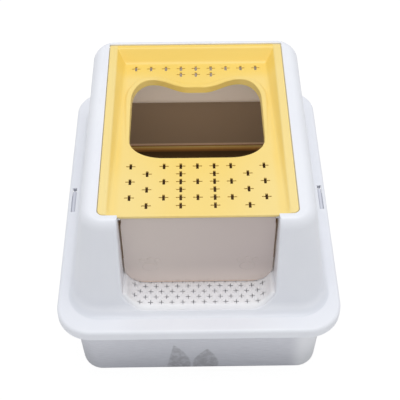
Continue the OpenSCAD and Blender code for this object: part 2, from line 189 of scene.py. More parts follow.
def block(name, low, high, soft=0.4):
    """Box between two corners, with its edges rounded over the width soft."""
    x, y, z = zip(low, high)
    points = [(x[i], y[j], z[k]) for k in (0, 1) for j in (0, 1) for i in (0, 1)]
    faces = [(0, 2, 3, 1), (4, 5, 7, 6), (0, 1, 5, 4), (2, 6, 7, 3), (0, 4, 6, 2), (1, 3, 7, 5)]
    obj = new_mesh(name, points, faces)
    return use(obj, "BEVEL", width=soft * MM, segments=3, limit_method="NONE") if soft else obj


def side_block(name, side, x0, x1, y, z, soft=0.4):
    """The same on the left (side -1) or right (side 1): x0 and x1 are distances
    from the middle plane, y and z are pairs."""
    x0, x1 = sorted((side * x0, side * x1))
    return block(name, (x0, y[0], z[0]), (x1, y[1], z[1]), soft)


def rod(name, x0, x1, y, z, r, soft=0.4, around=48):
    """Rod along X with radius r and rounded ends: at the angle a of the
    rounding, soft (1 - cos a) from the end, the radius is r - soft (1 - sin a)."""
    a = np.linspace(0, np.pi / 2, 4)
    along, radius = soft * (1 - np.cos(a)), r - soft * (1 - np.sin(a))
    xs = np.concatenate([x0 + along, x1 - along[::-1]])[:, None]
    rs = np.concatenate([radius, radius[::-1]])[:, None]
    t = np.linspace(0, 2 * np.pi, around, endpoint=False)[None, :]
    return tube(name, np.stack([xs + 0 * t, y + rs * np.cos(t), z + rs * np.sin(t)], -1))


# %% [markdown]
# ## Sizes
#
# These repeat the sizes that the frame was built with, in millimetres. A name
# that ends in Z is a height above the floor, in Y a depth from the middle, in R
# a radius and in T a thickness. HX and HY are half a width and half a depth.

# %% Sizes of the hood
BRIM_W, BRIM_D, BRIM_Z, BRIM_R = 440.0, 551.0, 156.0, 55.0
BRIM_EDGE_R, FLARE_R, ROOF_R = 5.0, 20.0, 18.0
TOWER_H, SKIRT_H, HOOD_T = 176.0, 18.0, 2.5
TOP_Z = BRIM_Z + TOWER_H
TOP_HX, TOP_HY, TOP_R = 171.0, 207.5, 35.0
BASE_HX, BASE_HY, BASE_R = BRIM_W / 2 - 23.5, BRIM_D / 2 - 40, 45.0
LEAN = math.atan((BASE_HY - TOP_HY) / TOWER_H)
print("lean of the walls in degrees:", round(math.degrees(LEAN), 2))

# %% Sizes of the lid
LID_W, LID_D, LID_Y = 290.6, 385.2, 1.9
LID_R, LID_BACK_R, LID_T = 9.0, 5.5, 2.5
LID_RIM, LID_RIM_BACK = 12.5, 9.0
LID_SLOPE, LID_SLOPE_BACK, LID_SLOPE_H = 18.0, 27.0, 26.0
LID_DEEP, LID_SHALLOW = 20.0, 5.0
LID_TILT = math.atan((LID_DEEP - LID_SHALLOW) / (LID_D - 20))
LID_GAP, LEDGE_W = 0.8, 8.6
LEDGE_Z = TOP_Z - 8.5
BARREL_R = 4.0
HINGE_Y, HINGE_Z = LID_Y + LID_D / 2 - BARREL_R, TOP_Z - 4.15
print("fall of the lid's floor in degrees:", round(math.degrees(LID_TILT), 2))

# %% Sizes of the alcove, the flap, the step and the latches
ALCOVE_HX, ALCOVE_R, ALCOVE_Z = 116.5, 35.0, BRIM_Z + 3
STEP_FRONT, STEP_BACK, STEP_H, STEP_T = -238.0, -150.0, 5.5, 2.5
SILL = 2.6
FLAP_Y, FLAP_Z, FLAP_T, FLAP_BARREL_R = -184.5, TOP_Z - 15, 3.0, 3.0
FLAP_HX, FLAP_FOOT_Z = ALCOVE_HX - 4, ALCOVE_Z + STEP_H + 2
LATCH_X, LATCH_Z = 210.5, 152.0
SLOT_FRONT, SLOT_BACK, SLOT_HX = -29.5, 24.5, 3.5

# %% [markdown]
# ## Shader maths
#
# A procedural finish is a small formula over the surface: noise for the grain,
# a mask for wear. Writing the formula as Python keeps it readable. Each
# operator below adds one node, so `1 - mask * 0.3` builds the same chain that
# would otherwise be wired by hand.

# %% A class for sockets
def operator(operation, swapped=False):
    """A method of Wire that adds one Math node."""
    def method(self, other):
        first, second = (other, self) if swapped else (self, other)
        return self.finish.add("ShaderNodeMath", {0: first, 1: second}, operation=operation)
    return method


class Wire:
    """A node output that can be used in sums. Numbers stay numbers."""

    def __init__(self, finish, socket):
        self.finish, self.socket = finish, socket

    __add__, __radd__ = operator("ADD"), operator("ADD", swapped=True)
    __sub__, __rsub__ = operator("SUBTRACT"), operator("SUBTRACT", swapped=True)
    __mul__, __pow__ = operator("MULTIPLY"), operator("POWER")

    def span(self, a, b):
        """Rises smoothly from 0 at value a to 1 at value b."""
        inputs = {"Value": self, "From Min": a, "From Max": b}
        return self.finish.add("ShaderNodeMapRange", inputs, interpolation_type="SMOOTHSTEP")


class Finish:
    """A material under construction."""

    def __init__(self, name):
        self.material = bpy.data.materials.new(name)
        self.material.use_nodes = True
        self.tree = self.material.node_tree
        self.tree.nodes.clear()

    def fill(self, node, inputs):
        """Gives each named or numbered input its value or its link."""
        for key, value in inputs.items():
            if isinstance(value, Wire):
                self.tree.links.new(value.socket, node.inputs[key])
            else:
                node.inputs[key].default_value = value

    def add(self, kind, inputs=None, output=0, **settings):
        """Adds one node: settings first, then its inputs. Returns one output."""
        node = self.tree.nodes.new(kind)
        for key, value in settings.items():
            setattr(node, key, value)
        self.fill(node, inputs or {})
        return Wire(self, node.outputs[output]) if len(node.outputs) else None

    def place(self, scale=(1, 1, 1)):
        """Object coordinates, stretched."""
        where = self.add("ShaderNodeTexCoord", output="Object")
        return self.add("ShaderNodeMapping", {"Vector": where, "Scale": scale})

    def axes(self):
        """Object coordinates as three numbers: across, depth and height."""
        where = self.add("ShaderNodeTexCoord", output="Object")
        split = self.add("ShaderNodeSeparateXYZ", {"Vector": where})
        return [Wire(self, split.socket.node.outputs[i]) for i in range(3)]

    def noise(self, scale, detail=4.0, rough=0.55, where=None):
        """Noise between 0 and 1 whose coarsest grain is about 1 / scale metres."""
        inputs = {"Vector": where or self.place(), "Scale": scale, "Detail": detail, "Roughness": rough}
        return self.add("ShaderNodeTexNoise", inputs, "Fac")

    def blend(self, mask, a, b):
        """Colour a where the mask is 0 and colour b where it is 1. The Mix node
        keeps its colour inputs at places 6 and 7 and its colour output at 2."""
        node = self.tree.nodes.new("ShaderNodeMix")
        node.data_type = "RGBA"
        self.fill(node, {0: mask, 6: a, 7: b})
        return Wire(self, node.outputs[2])

    def bump(self, height, strength, distance):
        """A normal tilted by the slope of the height."""
        inputs = {"Height": height, "Strength": strength, "Distance": distance}
        return self.add("ShaderNodeBump", inputs, "Normal")

    def surface(self, **inputs):
        """Ends the material with one Principled shader: Base_Color sets Base Color."""
        named = {key.replace("_", " "): value for key, value in inputs.items()}
        shader = self.add("ShaderNodeBsdfPrincipled", named)
        self.add("ShaderNodeOutputMaterial", {"Surface": shader})
        return self.material


def srgb(r, g, b):
    """Turns a colour as read on a screen (0 to 255) into the linear values nodes use."""
    c = np.array([r, g, b]) / 255.0
    linear = np.where(c <= 0.04045, c / 12.92, ((c + 0.055) / 1.055) ** 2.4)
    return (*linear.tolist(), 1.0)


# %% [markdown]
# ## Plastic
#
# The hood, the lid and the step are injection moulded polypropylene: an even
# colour with a soft gloss, a very fine grain from the mould, and slow changes
# in gloss where the plastic flowed. Light and shade are also painted into the
# colour: painted highlights towards the lid's front, sides and flat rim, and
# painted shade towards its back and in the hood's hollow curve. A small function
# per piece paints them in, in bands along the object's own axes.

# %% Moulded plastic
def plastic(name, colour, shade, rough, painted_light_shade=None):
    """Two close colours in slow clouds. The last argument, if given, takes the
    finish and its colour, and returns the colour with painted light and shade over
    the piece."""
    f = Finish(name)
    flow = f.noise(9.0, detail=3.0)
    grain = f.noise(900.0, detail=2.0)
    base = f.blend(flow.span(0.3, 0.7), srgb(*colour), srgb(*shade))
    if painted_light_shade:
        base = painted_light_shade(f, base)
    return f.surface(Base_Color=base, Roughness=rough + flow * 0.08 - 0.04,
                     Normal=f.bump(grain, strength=0.05, distance=0.0002))


def lid_painted_light_shade(f, base):
    """Painted light and shade. The yellow is painted paler to the front and to the
    sides, less so on the side slopes, and most on the flat rim, as painted
    highlights. Towards the back it is painted deeper, as painted shade."""
    pale, deep = srgb(247, 226, 158), srgb(249, 213, 100)
    rim = (LID_W / 2 - LID_RIM) * MM
    foot = rim - LID_SLOPE * MM
    across, depth, _ = f.axes()
    off = (across ** 2) ** 0.5
    base = f.blend(depth.span(-0.06, -0.15) * 0.3, base, pale)
    back = depth.span(0.12, 0.15)
    aside = off.span(0.02, 0.11) * (0.15 + off.span(foot + 0.0072, foot - 0.0028) * 0.27)
    base = f.blend(aside * (1 - back), base, pale)
    base = f.blend(back * 0.5, base, deep)
    return f.blend(off.span(rim - 0.0023, rim + 0.0007) * 0.6, base, pale)


def hood_painted_shade(f, base):
    """Painted shade: the hollow curve over the front of the brim is painted a
    little darker, from 0.4 to 1 mm above the brim in full, and fading out 8 mm
    above it."""
    brim = BRIM_Z * MM
    _, depth, height = f.axes()
    curve = height.span(brim, brim + 0.0004) * height.span(brim + 0.008, brim + 0.001)
    return f.blend(curve * depth.span(-0.16, -0.23), base, srgb(226, 229, 237))


HOOD_WHITE = plastic("hood_white_plastic", (240, 242, 248), (237, 239, 246), 0.34, hood_painted_shade)
LID_YELLOW = plastic("lid_yellow_plastic", (250, 217, 118), (248, 214, 111), 0.36, lid_painted_light_shade)
STEP_WHITE = plastic("step_warm_white_plastic", (248, 249, 252), (246, 246, 250), 0.45)
LATCH_GREY = plastic("latch_grey_plastic", (220, 222, 231), (214, 216, 226), 0.4)

# %% [markdown]
# ## Smoky plastic and steel
#
# The flap is tinted plastic that lets a little light through. Light is painted
# into its colour: paler towards its lower edge, a warm painted highlight along
# that edge, and lighter on the left than on the right. Full glass would be the
# other way to make it, but a thin milky sheet shows no refraction, so a little
# transparency does. Its roughness is one number: noise there draws outlines in
# the reflections.
#
# The pan is drawn stainless steel, bright, with fine level lines and shallow
# waves. Its inner side is painted dark brown shade, and warm light from under
# the lid is painted over it as brown and orange bands, by height, on the inner
# side only. Two faint leaf-shaped dark reflections are painted in the middle of
# the front wall, and a painted highlight brightens the pan's right end.

# %% The smoky flap
def smoky():
    """Two greyish browns across the sheet, the left one lighter as painted light,
    painted paler low down, and a warm painted highlight in the lowest 5 mm.
    """
    f = Finish("flap_smoky_plastic")
    grain = f.noise(700.0, detail=2.0)
    foot = FLAP_FOOT_Z * MM
    across, _, height = f.axes()
    # Painted light: lighter on the left than on the right, paler over the lowest 48 mm, and a warm painted
    # highlight along the lower edge.
    upper = f.blend(across.span(-0.1, 0.1), srgb(222, 209, 202), srgb(213, 199, 194))
    lower = f.blend(height.span(foot - 0.0005, foot + 0.0485), srgb(240, 225, 217), upper)
    base = f.blend(height.span(foot, foot + 0.0055), srgb(243, 214, 194), lower)
    return f.surface(Base_Color=base, Roughness=0.26, Alpha=0.9,
                     Normal=f.bump(grain, strength=0.03, distance=0.0002), IOR=1.49)


# %% Drawn steel
# Bands of painted warm light on the pan's inner side. Each band is a height in
# metres where it starts, one where it is full, and its colour.
PAN_PAINTED_LIGHT_BANDS = (
    (0.0205, 0.0235, (170, 126, 76)),
    (0.0245, 0.0300, (240, 200, 128)),
    (0.0300, 0.0345, (252, 238, 168)),
    (0.0352, 0.0362, (178, 130, 86)),
    (0.0378, 0.0388, (252, 234, 222)),
    (0.0430, 0.0440, (186, 174, 162)),
)


def front_painted_reflections(f, across, depth, height):
    """Mask of the two painted dark reflections. In metres, with u the height less
    0.02, the tall one lies between -0.0535 + 0.175 u and -0.012 - 6.8 u^2, the low
    one between -0.013 + 9.9 u^2 and 0.033 - 7.4 u^2. Noise breaks them up."""
    up = height - 0.02
    curve = up * up
    tall = (across + 0.0535 - up * 0.175).span(0, 0.003) * (curve * -6.8 - 0.012 - across).span(0, 0.005)
    low = (across + 0.013 - curve * 9.9).span(0, 0.004) * (curve * -7.4 + 0.033 - across).span(0, 0.005)
    # Noise that breaks up the painted reflections.
    marks = f.noise(110.0, detail=4.0, rough=0.7)
    return (tall + low) * depth.span(-0.2, -0.23) * (marks.span(0.35, 0.6) * 0.5 + 0.4)


def steel(name, rough=0.3, lined=False):
    """Drawn steel. With `lined`, two painted dark reflections lie on the front
    wall, a painted highlight on the right end, and the mesh attribute "inside"
    marks the surface that faces the litter: duller, painted dark brown shade, and
    bands of painted warm light."""
    f = Finish(name)
    lines = f.noise(60.0, detail=3.0, where=f.place((1, 1, 22)))
    waves = f.noise(7.0, detail=2.0)
    base = f.blend(lines.span(0.3, 0.7), srgb(224, 225, 231), srgb(212, 213, 220))
    metal = 1.0
    if lined:
        inside = f.add("ShaderNodeAttribute", output="Fac", attribute_name="inside")
        across, depth, height = f.axes()
        # Painted dark reflections on the front wall.
        base = f.blend(front_painted_reflections(f, across, depth, height), base, srgb(180, 180, 185))
        # Painted highlight: the right end of the pan is brighter.
        right_end_highlight = across.span(0.142, 0.166)
        base = f.blend(right_end_highlight, base, srgb(238, 239, 243))
        # Painted shade inside: dark brown, with bands of painted warm light over it.
        warm = srgb(104, 86, 62)
        for start, full, colour in PAN_PAINTED_LIGHT_BANDS:
            warm = f.blend(height.span(start, full), warm, srgb(*colour))
        base = f.blend(inside, base, warm)
        metal = 1 - inside * 0.5
    return f.surface(Base_Color=base, Metallic=metal, Roughness=rough + lines * 0.12 - 0.05,
                     Normal=f.bump(lines * 0.15 + waves, strength=0.12, distance=0.004))


FLAP_SMOKE = smoky()
PAN_STEEL = steel("pan_drawn_steel", lined=True)
PIN_STEEL = steel("pin_steel", 0.25)
print("materials:", len(bpy.data.materials))

# %% [markdown]
# ## The hood
#
# The hood is one moulding: a skirt, a wide brim, a tower with leaning walls
# that meets the brim in a hollow curve, and a rounded roof with a recess for
# the lid. All of that is one profile carried round a rounded rectangle, so it
# is a stack of rings. The alcove breaks the front, and a stack can't have a
# hole, so the alcove is cut out afterwards with a solid whose mouth flares.
# The flare leaves the rounded edge that the real moulding has.

# %% The hood's profile
SKIRT_EDGE_R = 0.6
SIDE_SHARE = 0.5
ROOF_IN_X, ROOF_IN_Y = 15.0, 9.0


def wall(z):
    """Half width, half depth and corner radius of the leaning wall at height z."""
    k = (z - BRIM_Z) / TOWER_H
    return BASE_HX + (TOP_HX - BASE_HX) * k, BASE_HY + (TOP_HY - BASE_HY) * k, BASE_R + (TOP_R - BASE_R) * k


def profile_rows(hx, hy, r, z, normal):
    """Rows of half width, half depth, corner radius, height and normal angle."""
    return np.stack(np.broadcast_arrays(hx, hy, r, z, normal), -1).reshape(-1, 5)


def hood_profile():
    """Skirt, quarter circle, level brim, hollow curve, wall and roof edge. The
    hollow curve is a circle that touches brim and wall, r tan((90 - lean) / 2)
    from their corner, and is squeezed to SIDE_SHARE of that at the sides. The
    roof edge is a quarter circle squeezed to ROOF_IN_X and ROOF_IN_Y."""
    parts = [profile_rows(BRIM_W / 2, BRIM_D / 2, BRIM_R, BRIM_Z - SKIRT_H + SKIRT_EDGE_R, 0.0)]
    a = np.radians(np.linspace(0, 90, 9))
    o, z = BRIM_EDGE_R * (1 - np.cos(a)), BRIM_Z - BRIM_EDGE_R * (1 - np.sin(a))
    parts.append(profile_rows(BRIM_W / 2 - o, BRIM_D / 2 - o, BRIM_R - o, z, a))

    steep = math.pi / 2 - LEAN
    reach = FLARE_R * math.tan(steep / 2)
    hx, hy, r = wall(BRIM_Z)
    side = reach * SIDE_SHARE
    parts.append(profile_rows(hx + side + 2, hy + reach + 2, r + side + 2, BRIM_Z, math.pi / 2))
    a = np.linspace(0, steep, 15)
    z = BRIM_Z + FLARE_R * (1 - np.cos(a))
    out = reach - FLARE_R * np.sin(a) + (z - BRIM_Z) * math.tan(LEAN)
    hx, hy, r = wall(z)
    parts.append(profile_rows(hx + out * SIDE_SHARE, hy + out, r + out * SIDE_SHARE, z, math.pi / 2 - a))

    low, high = z[-1], TOP_Z - ROOF_R
    z = np.array([low + 2, (low + high) / 2, high + ROOF_R * math.sin(LEAN) - 2])
    parts.append(profile_rows(*wall(z), z, LEAN))

    a = LEAN + np.linspace(0, 1, 15) * steep
    z = TOP_Z - ROOF_R * (1 - np.sin(a))
    k = (math.cos(LEAN) - np.cos(a)) / math.cos(LEAN)
    hx, hy, r = wall(z)
    parts.append(profile_rows(hx - ROOF_IN_X * k, hy - ROOF_IN_Y * k, r - ROOF_R * k, z, a))
    return np.concatenate(parts)


PROFILE = hood_profile()
print("rings in the hood's outer profile:", len(PROFILE))


# %% The hood's shell
def rings_of(rows, inset=0.0):
    """Rings of the profile, moved inwards along the normal: a - t cos n, z - t sin n."""
    a, b, r, z, n = rows.T
    level = inset * np.cos(n)
    return ring(a - level, b - level, r - level, z - inset * np.sin(n))


def brim_ring(inset, z):
    return ring(BRIM_W / 2 - inset, BRIM_D / 2 - inset, BRIM_R - inset, z)


def lid_ring(o, z):
    """The lid's outline grown by o. The rear corners stay tight, because the
    lid's barrel turns in them: a radius of 0.9 at the gap, 2.08 more per mm."""
    return ring(LID_W / 2 + o, LID_D / 2 + o, max(LID_R + o, 1.5), z, LID_Y, rear=max(2.08 * o - 0.76, 0.9))


def hood_shell():
    """One closed stack of rings: up the outside, over the rounded edge of the
    lid's recess, round the ledge that carries the lid, and down the inside."""
    edge_r = 1.2
    edge = [lid_ring(LID_GAP + edge_r * (1 - math.sin(t)), TOP_Z - edge_r * (1 - math.cos(t)))
            for t in np.radians([0, 30, 60, 90])]
    inner, outer, under = LID_GAP - LEDGE_W, LID_GAP + HOOD_T, LEDGE_Z - HOOD_T
    seat = [lid_ring(LID_GAP, LEDGE_Z), lid_ring(inner, LEDGE_Z), lid_ring(inner, under),
            lid_ring(outer, under), lid_ring(outer, TOP_Z - HOOD_T)]
    skirt_z = BRIM_Z - SKIRT_H
    foot = [brim_ring(HOOD_T, skirt_z + SKIRT_EDGE_R), brim_ring(HOOD_T - SKIRT_EDGE_R, skirt_z),
            brim_ring(SKIRT_EDGE_R, skirt_z)]
    rows = [rings_of(PROFILE), *edge, *seat, rings_of(PROFILE[::-1][:-1], HOOD_T), *foot]
    return tube("hood_shell", np.concatenate(rows), closed_rows=True)


shell = hood_shell()
print("points in the shell:", len(shell.data.vertices))

# %% [markdown]
# The alcove's outline is a U: two upright sides and two round corners. The
# front of the hood is the same curve at every x, so the depth of its surface is
# a function of height alone, and the flared mouth can follow it exactly. Before
# the step the mouth's floor is a little higher, so that the hood rises to meet
# the step's front edge.

# %% The alcove's outline
FRONT = PROFILE[np.argmax(PROFILE[:, 3] > BRIM_Z + 1e-4) - 1:]


def front_y(z):
    """Depth of the hood's front surface at height z, between the profile's rows."""
    return -np.interp(z, FRONT[:, 3], FRONT[:, 1])


def mirrored(x, z):
    """A left half that ends in the middle, joined to its mirror image."""
    return np.concatenate([x, -x[::-1][1:]]), np.concatenate([z, z[::-1][1:]])


def u_line(o, top=TOP_Z + 14, floor=ALCOVE_Z, r=ALCOVE_R, hx=ALCOVE_HX, corner=20, side=26, mid=7):
    """Points x and z of a U, down the left side, along the foot and up the right
    side. It is moved outwards by o, which can be one distance for the sides and
    one for the foot: a corner point is (hx - r + (r + side) cos t, r - (r + foot) sin t)."""
    out, foot = o if np.ndim(o) else (o, o)
    t = np.linspace(0, np.pi / 2, corner + 1)
    upright = np.linspace(top, floor + r, side + 1)[:-1]
    level = np.linspace(-(hx - r), 0, mid + 1)[1:]
    x = np.concatenate([np.full(side, -hx - out), -(hx - r) - (r + out) * np.cos(t), level])
    z = np.concatenate([upright, floor + r - (r + foot) * np.sin(t), np.full(mid, floor - foot)])
    return mirrored(x, z)


def at_depth(x, y, z):
    """A line in x and z as points, at one depth or at a depth for each."""
    return np.stack(np.broadcast_arrays(x, y, z), -1)


# %% The alcove's cutter and lining
MOUTH_SIDE, MOUTH_FOOT = 4.5, 0.7
AHEAD, BEHIND = -300.0, -140.0
CHEEK_BACK, FLOOR_BACK = -172.0, -146.0


def alcove_cutter():
    """The mouth flares out over a quarter circle, MOUTH_SIDE wide at the sides
    and MOUTH_FOOT at the foot: at the angle t of the quarter circle it is moved
    out by r (1 - sin t) and lies r (1 - cos t) behind the hood's front."""
    floor = ALCOVE_Z + SILL
    turns = np.radians(np.linspace(8, 90, 9))
    start = 1 - math.sin(turns[0])
    x, z = u_line((MOUTH_SIDE * start + 0.3, MOUTH_FOOT * start + 0.1), floor=floor)
    rows = [at_depth(x, AHEAD, z)]
    for t in turns:
        out = 1 - math.sin(t)
        x, z = u_line((MOUTH_SIDE * out, MOUTH_FOOT * out), floor=floor)
        r = MOUTH_FOOT + (MOUTH_SIDE - MOUTH_FOOT) * np.clip((z - floor) / ALCOVE_R, 0, 1)
        rows.append(at_depth(x, front_y(z) + r * (1 - math.cos(t)), z))
    inner = np.maximum(rows[-1][:, 1] + 0.2, STEP_FRONT - 0.6)
    rows.append(at_depth(x, inner, z))
    x, z = u_line(0)
    rows += [at_depth(x, inner + 0.3, z), at_depth(x, BEHIND, z)]
    return tube("alcove_cutter", rows, flip=True)


def alcove_lining():
    """A U-shaped wall from just inside the front skin to the back of the cheeks
    and the floor. Its back edge slides from one to the other over 14 mm of
    height, by the smooth step k^2 (3 - 2k)."""
    top, inside_skin = LEDGE_Z - 0.3, 0.6
    x, z = u_line(HOOD_T, top=top)
    xi, zi = u_line(-1.5, top=top)
    k = np.clip((z - (ALCOVE_Z + 22)) / 14, 0, 1)
    back = FLOOR_BACK + (CHEEK_BACK - FLOOR_BACK) * (k * k * (3 - 2 * k))
    rows = [at_depth(x, front_y(z) + inside_skin, z), at_depth(x, back, z),
            at_depth(xi, back, zi), at_depth(xi, front_y(zi) + inside_skin, zi)]
    return strip("alcove_lining", rows)


cut(shell, alcove_lining(), "UNION")
cut(shell, alcove_cutter())
print("after the alcove:", len(shell.data.polygons), "faces")

# %% [markdown]
# The brim has a slot on each side for its latch and the skirt a window under
# it. Lugs, collars and bearing blocks are small and only touch the shell, so
# they are merged with it without a cut.

# %% Slots, windows and small blocks
WINDOW_D = 47.8

for side in (-1, 1):
    cut(shell, side_block("slot", side, LATCH_X - SLOT_HX, LATCH_X + SLOT_HX,
                          (SLOT_FRONT, SLOT_BACK), (BRIM_Z - 6, BRIM_Z + 3), soft=0))
    cut(shell, side_block("window", side, LATCH_X + 4, BRIM_W / 2 + 1,
                          (SLOT_FRONT, SLOT_FRONT + WINDOW_D), (BRIM_Z - 19, BRIM_Z - 8), soft=0))


def small_blocks(side):
    """Two lugs for the latch's pin, a block and a collar for the flap's rod, and
    a block for the lid's pin."""
    lugs = [side_block("lug", side, LATCH_X - 3.4, LATCH_X + 3.4, (y, y + 5), (LATCH_Z - 4, BRIM_Z - 2.3))
            for y in (SLOT_FRONT - 5.3, SLOT_BACK + 0.3)]
    rod_block = side_block("rod_block", side, ALCOVE_HX + 2.1, ALCOVE_HX + 7.1,
                           (FLAP_Y - 4.5, FLAP_Y + 4.5), (FLAP_Z - 6, LEDGE_Z - 0.5))
    x0, x1 = sorted((side * (ALCOVE_HX - 3.5), side * (ALCOVE_HX + 0.4)))
    collar = rod("rod_collar", x0, x1, FLAP_Y, FLAP_Z, FLAP_BARREL_R, soft=0.3)
    hinge_block = side_block("hinge_block", side, LID_W / 2 + 1.3, LID_W / 2 + 6.8,
                             (HINGE_Y - 5, HINGE_Y + 3), (LEDGE_Z - 2, TOP_Z - 2))
    return [*lugs, rod_block, collar, hinge_block]


hood = merge(shell, *small_blocks(-1), *small_blocks(1))
hood.name = "hood_body"
finish_piece(hood, HOOD_WHITE, "box", ["hood"])

# %% [markdown]
# ## The pan
#
# A deep drawn tray: flat floor, a wide radius into leaning walls, and a rim
# rolled outwards that hides under the brim. Again a stack of rings, now with
# the rim's roll as part of the profile. The rings after the crest of the roll
# face the litter, and the attribute "inside" marks them for the steel.

# %% The pan
PAN_HX, PAN_HY, PAN_R, PAN_TOP = BRIM_W / 2 - 23, BRIM_D / 2 - 23, 38.0, BRIM_Z - HOOD_T
PAN_T, PAN_FOOT_R, PAN_TAPER = 0.8, 17.0, 7.0
ROLL_R, ROLL_OUT = 2.5, 7.0


def pan_ring(o, z):
    """Ring of the pan's wall moved outwards by o. Down at the floor the wall
    stands PAN_TAPER further in than at the top."""
    o = o - PAN_TAPER * (1 - z / PAN_TOP)
    return ring(PAN_HX + o, PAN_HY + o, PAN_R + o, z, corner=18)


def foot_bend(r, angles):
    """Quarter circle between floor and wall: in by r (1 - sin a), up by r (1 - cos a)."""
    return [(-r * (1 - math.sin(a)), r * (1 - math.cos(a))) for a in angles]


def pan():
    """Outwards over the underside, up the wall, round the rolled rim, down the
    inner side and inwards over the floor."""
    angles = np.radians(np.linspace(0, 90, 13))
    places = foot_bend(PAN_FOOT_R, angles)
    places += [(0, 60), (0, 110)]
    places += [(o, PAN_TOP - down) for o, down in ((0, 7), (0.3, 5), (1, 2.6), (4.6, 1.9))]
    places += [(ROLL_OUT + ROLL_R * math.cos(a), PAN_TOP - ROLL_R + ROLL_R * math.sin(a))
               for a in np.radians([*range(215, 356, 20), 15, 35, 55, 75, 90])]
    places += [(o, PAN_TOP - down) for o, down in ((1.5, 0), (0.2, 0.3), (0.5 - PAN_T, 1), (-PAN_T, 2.5))]
    places += [(-PAN_T, 100), (-PAN_T, 50)]
    places += [(o - PAN_T, z + PAN_T) for o, z in foot_bend(PAN_FOOT_R - PAN_T, angles[::-1])]
    rings = [pan_ring(o, z) for o, z in places]
    under, floor = [ring(60, 120, 10, z, corner=18) for z in (0, PAN_T)]
    rows = np.concatenate([under, *rings, floor])
    obj = tube("litter_pan_shell", rows)
    crest = np.argmax(rows[:, 0, 2] > PAN_TOP - 0.01)
    inside = np.repeat((np.arange(len(rows)) > crest).astype(float), rows.shape[1])
    obj.data.attributes.new("inside", "FLOAT", "POINT").data.foreach_set("value", inside)
    return obj


finish_piece(pan(), PAN_STEEL, "box", ["litter_pan"], angle=50)

# %% [markdown]
# ## The entry lid
#
# Seen from above the lid is a frame: a flat rim on three sides, walls that
# slope down to a floor, and the floor itself, which is deepest at the back. The
# back edge of the entry hole swells up in a soft bead and turns down inside the
# box. Height is therefore a function of the place in plan, and the grid runs
# from the hole's edge outwards to the lid's edge, so that its lines follow
# both.

# %% The hole's outline
HOLE_HX, HOLE_FRONT, HOLE_BACK = 105.0, -68.0, 118.0
CORNER_W, CORNER_D, LOBE_W, LOBE_D = 54.0, 40.0, 33.0, 50.0
DIP_HX, DIP_Y, WAVE_HX = 12.0, 97.0, 70.0


def quarter_ellipse(x, y, w, d, start, end, count):
    """Points (x + w cos t, y + d sin t) between two angles in degrees."""
    t = np.radians(np.linspace(start, end, count))
    return np.stack([x + w * np.cos(t), y + d * np.sin(t)], -1)


def hole_outline():
    """Right half from the middle of the front to the middle of the back, then
    mirrored: an elliptical front corner, a straight side, an elliptical lobe
    and a half cosine wave down to the dip."""
    front = np.stack([np.linspace(0, HOLE_HX - CORNER_W - 1, 14), np.full(14, HOLE_FRONT)], -1)
    corner = quarter_ellipse(HOLE_HX - CORNER_W, HOLE_FRONT + CORNER_D, CORNER_W, -CORNER_D, 90, 0, 28)
    side_y = np.linspace(HOLE_FRONT + CORNER_D + 4, HOLE_BACK - LOBE_D - 4, 24)
    side = np.stack([np.full(24, HOLE_HX), side_y], -1)
    lobe = quarter_ellipse(HOLE_HX - LOBE_W, HOLE_BACK - LOBE_D, LOBE_W, LOBE_D, 0, 90, 30)
    x = np.linspace(WAVE_HX, 0, 36)
    k = np.clip((x - DIP_HX) / (WAVE_HX - DIP_HX), 0, 1)
    wave = np.stack([x, DIP_Y + (HOLE_BACK - DIP_Y) / 2 * (1 - np.cos(np.pi * k))], -1)
    right = np.concatenate([front, corner, side, lobe, wave])
    return np.concatenate([right, right[::-1][1:-1] * [-1, 1]])


HOLE = hole_outline()
print("points round the entry hole:", len(HOLE))


def from_edge(p, batch=4000):
    """Distance from points to the outline: the least distance to its segments,
    worked out in batches to save memory."""
    a, b = HOLE, np.roll(HOLE, -1, axis=0)
    ab = b - a
    out = np.empty(len(p))
    for start in range(0, len(p), batch):
        q = p[start:start + batch, None, :]
        t = np.clip(((q - a) * ab).sum(-1) / np.maximum((ab * ab).sum(-1), 1e-12), 0, 1)
        out[start:start + batch] = np.sqrt((((q - a - t[..., None] * ab)) ** 2).sum(-1)).min(1)
    return out


# %% The lid's height
WALL_W = 1.2
BEAD_H, BEAD_NARROW, BEAD_WIDE = 3.6, 4.5, 13.0
BEAD_RISE, BEAD_CREST, BEAD_FALL = 0.12, 0.55, 0.34
SWELL_START, SWELL_D = -60.0, 134.0


def soft_max(a, b, k):
    """The larger of two values, with the crossing rounded over a width k."""
    h = np.maximum(k - np.abs(a - b), 0) / k
    return np.maximum(a, b) + h * h * k / 4


def soft_min(a, b, k):
    """The smaller of two values, rounded in the same way."""
    return -soft_max(-a, -b, k)


def lid_floor_z(y):
    """The floor falls evenly towards the back."""
    return TOP_Z - LID_SHALLOW - math.tan(LID_TILT) * (y - (LID_Y - LID_D / 2))


def swell(y):
    """How much of the bead there is: none at the front, all at the back."""
    return np.clip((y - SWELL_START) / SWELL_D, 0, 1)


